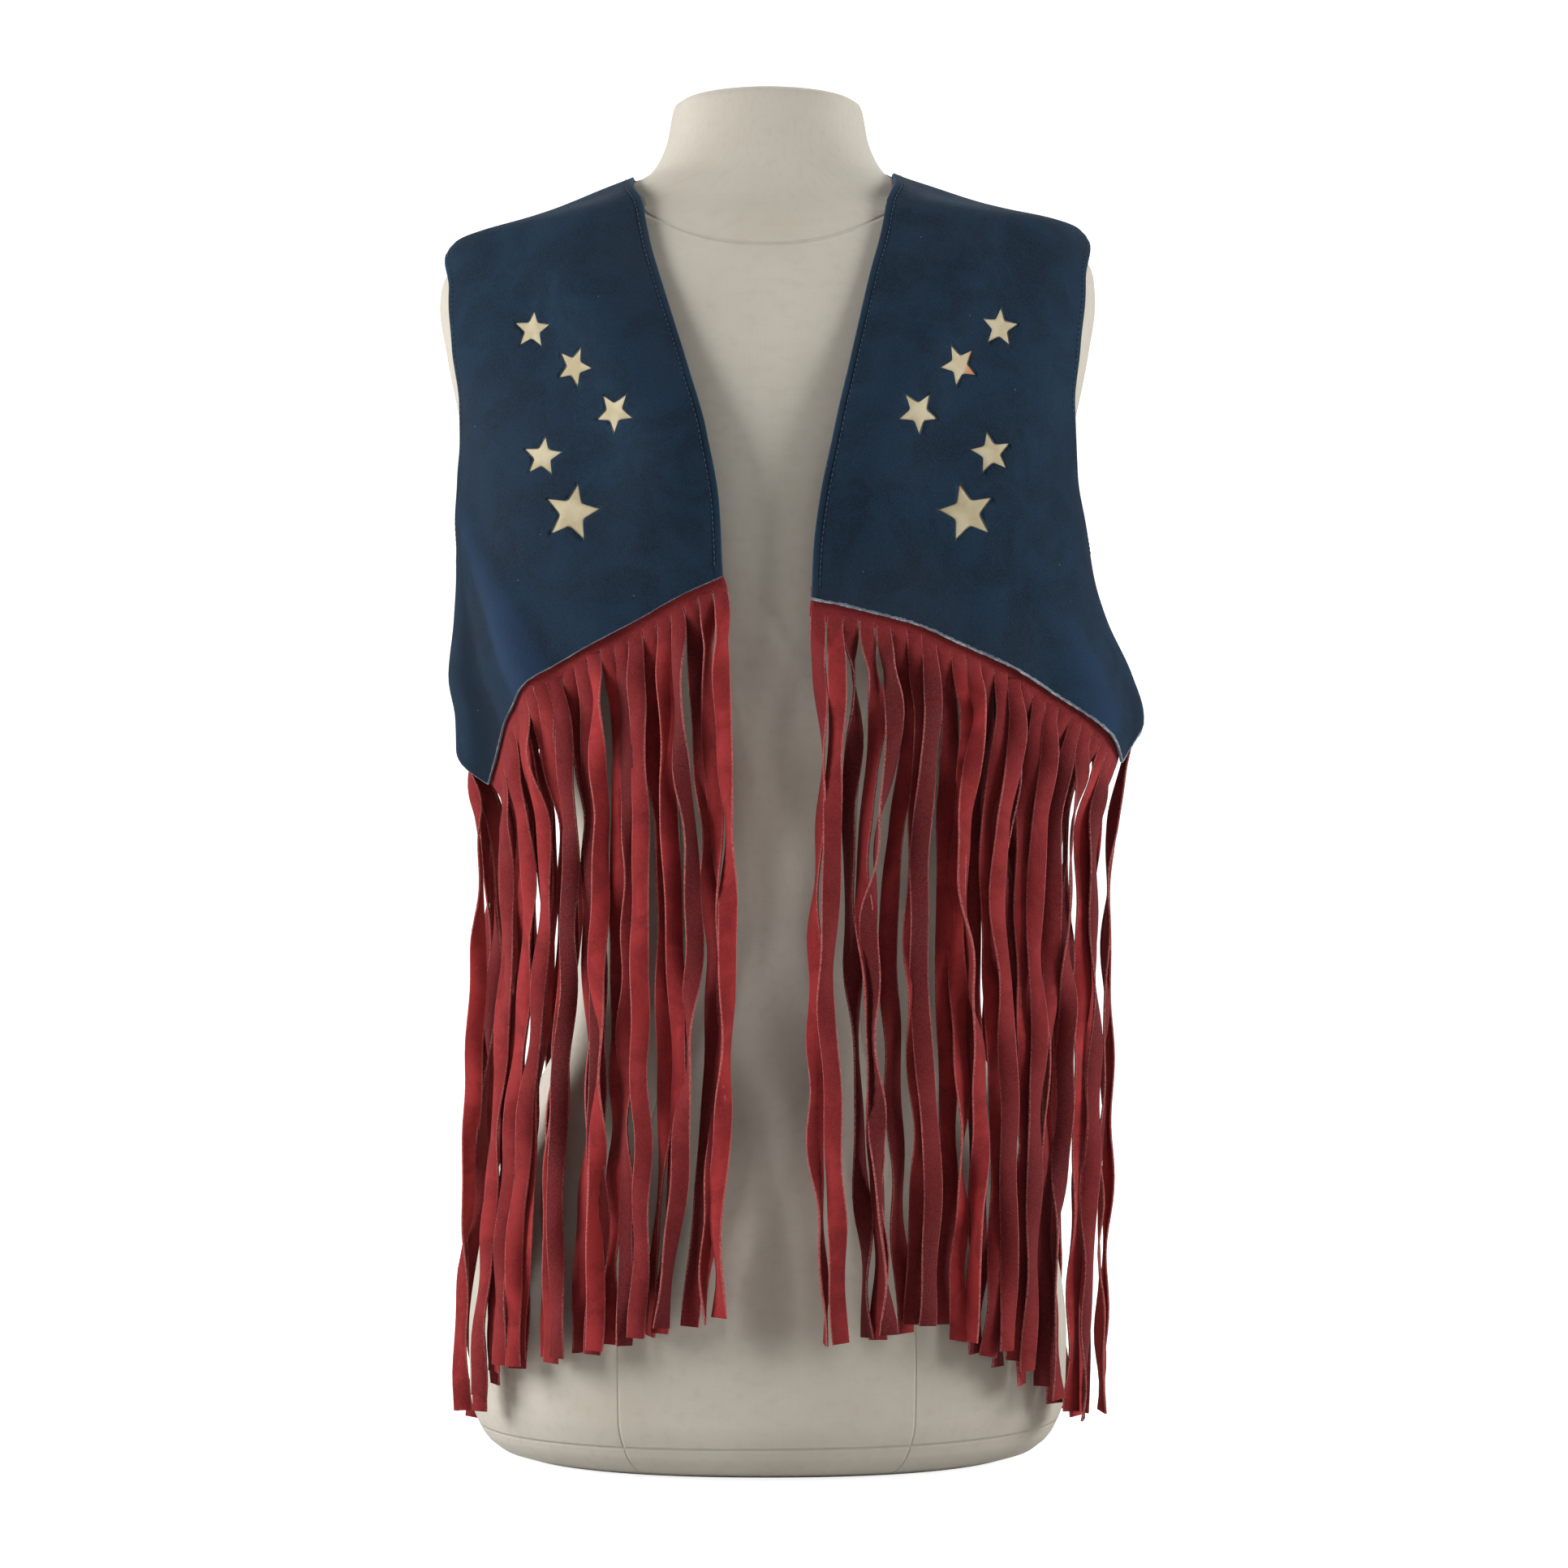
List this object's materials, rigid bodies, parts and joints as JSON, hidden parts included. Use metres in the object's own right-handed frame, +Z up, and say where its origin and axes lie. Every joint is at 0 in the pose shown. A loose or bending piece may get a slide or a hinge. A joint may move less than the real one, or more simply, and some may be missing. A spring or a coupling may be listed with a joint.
{
  "type": "fringed suede vest on a dress form",
  "caption": "Open suede vest with long suede fringe under its hem and star insets on the fronts, standing on a limbless linen dress form.",
  "frame": {"origin": "centre of the dress form's flat base", "axes": "+Z up, the front faces -Y, +X is the wearer's left"},
  "size_m": [0.4152, 0.2582, 0.793],
  "materials": {
    "blue_suede": "matte suede",
    "red_suede": "matte suede",
    "star_leather": "smooth leather",
    "linen": "woven linen"
  },
  "bodies": {
    "root": {"dress_form": "linen", "front_right": "blue_suede", "front_left": "blue_suede", "back": "blue_suede", "star_right_1": "star_leather", "star_right_2": "star_leather", "star_right_3": "star_leather", "star_right_4": "star_leather", "star_right_5": "star_leather", "star_left_1": "star_leather", "star_left_2": "star_leather", "star_left_3": "star_leather", "star_left_4": "star_leather", "star_left_5": "star_leather", "fringe_right": "red_suede", "fringe_left": "red_suede", "fringe_back": "red_suede"}
  },
  "joints": []
}
